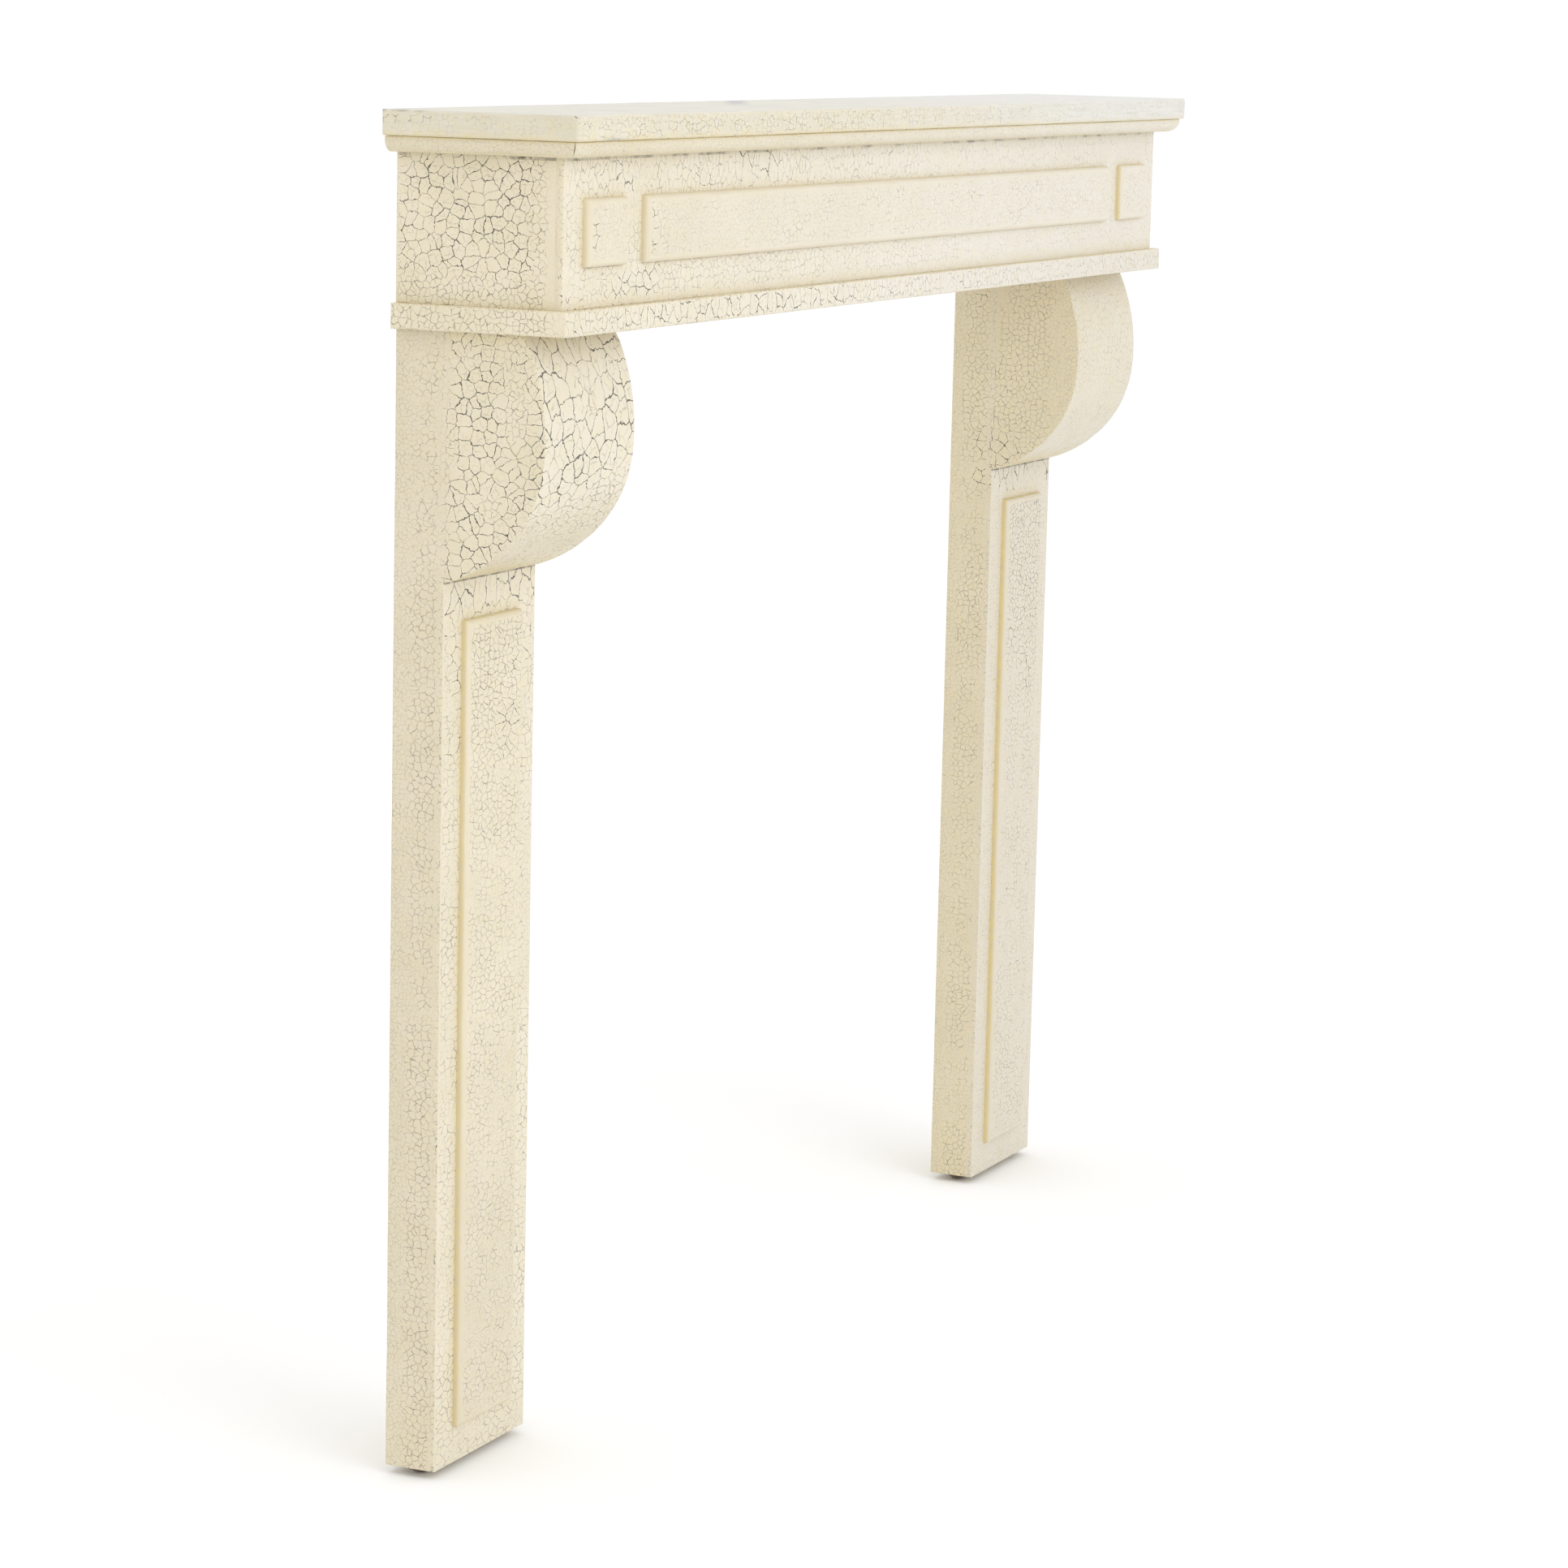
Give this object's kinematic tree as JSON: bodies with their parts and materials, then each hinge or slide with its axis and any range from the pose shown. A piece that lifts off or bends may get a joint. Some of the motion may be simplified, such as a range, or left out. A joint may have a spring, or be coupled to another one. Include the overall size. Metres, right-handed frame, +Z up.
{
  "type": "fireplace mantelpiece",
  "caption": "Painted wooden fireplace mantelpiece: board shelf on a shallow panelled frieze box, carried by panelled pilasters with bowed corbels.",
  "frame": {"origin": "middle of the shelf board's back edge, where the mantelpiece meets the wall", "axes": "+X to the right seen from the room, +Y into the wall, +Z up"},
  "size_m": [1.244, 0.159, 1.026],
  "materials": {
    "ivory_crackle_paint": "ivory crackle paint on wood",
    "shelf_paint": "worn off-white paint on wood",
    "glide_plastic": "dull brown plastic"
  },
  "bodies": {
    "root": {"mantel_shelf": "shelf_paint", "cornice_front": "ivory_crackle_paint", "cornice_left": "ivory_crackle_paint", "cornice_right": "ivory_crackle_paint", "frieze_front": "ivory_crackle_paint", "frieze_end_left": "ivory_crackle_paint", "frieze_end_right": "ivory_crackle_paint", "frieze_base": "ivory_crackle_paint", "frieze_panel_left": "ivory_crackle_paint", "frieze_panel_centre": "ivory_crackle_paint", "frieze_panel_right": "ivory_crackle_paint", "pilaster_post_left": "ivory_crackle_paint", "pilaster_post_right": "ivory_crackle_paint", "pilaster_face_left": "ivory_crackle_paint", "pilaster_face_right": "ivory_crackle_paint", "pilaster_panel_left": "ivory_crackle_paint", "pilaster_panel_right": "ivory_crackle_paint", "corbel_left": "ivory_crackle_paint", "corbel_right": "ivory_crackle_paint", "glide_left_outer": "glide_plastic", "glide_left_inner": "glide_plastic", "glide_right_outer": "glide_plastic", "glide_right_inner": "glide_plastic"}
  },
  "joints": []
}
